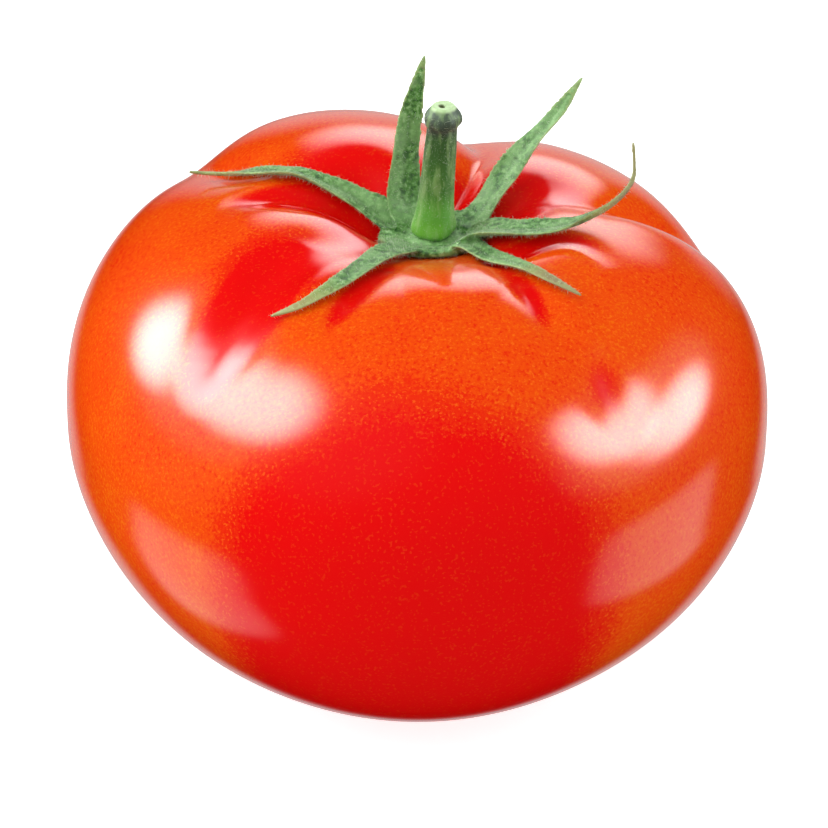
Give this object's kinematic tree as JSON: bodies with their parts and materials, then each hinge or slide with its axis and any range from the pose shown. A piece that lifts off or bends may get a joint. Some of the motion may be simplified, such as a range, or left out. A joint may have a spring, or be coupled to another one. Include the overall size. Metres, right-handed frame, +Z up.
{
  "type": "tomato",
  "caption": "Ripe ribbed tomato with a star-shaped green calyx and a short cut stalk, standing on its blossom end.",
  "frame": {"origin": "middle of the tomato's footprint in X and Y, at the level of the surface it stands on", "axes": "+Z up along the fruit's axis, -Y towards the viewer of the picture, +X to the viewer's right"},
  "size_m": [0.0898, 0.096, 0.0814],
  "materials": {
    "skin": "smooth glossy ripe tomato skin, red with orange-red lobes and fine golden specks",
    "calyx_leaf": "matt green leaf, mottled grey-green, with short pale hairs",
    "stalk": "matt green stalk with short pale hairs, dark knuckle and pale cut end"
  },
  "bodies": {
    "root": {"fruit": "skin", "calyx": "calyx_leaf", "stem": "stalk"}
  },
  "joints": []
}
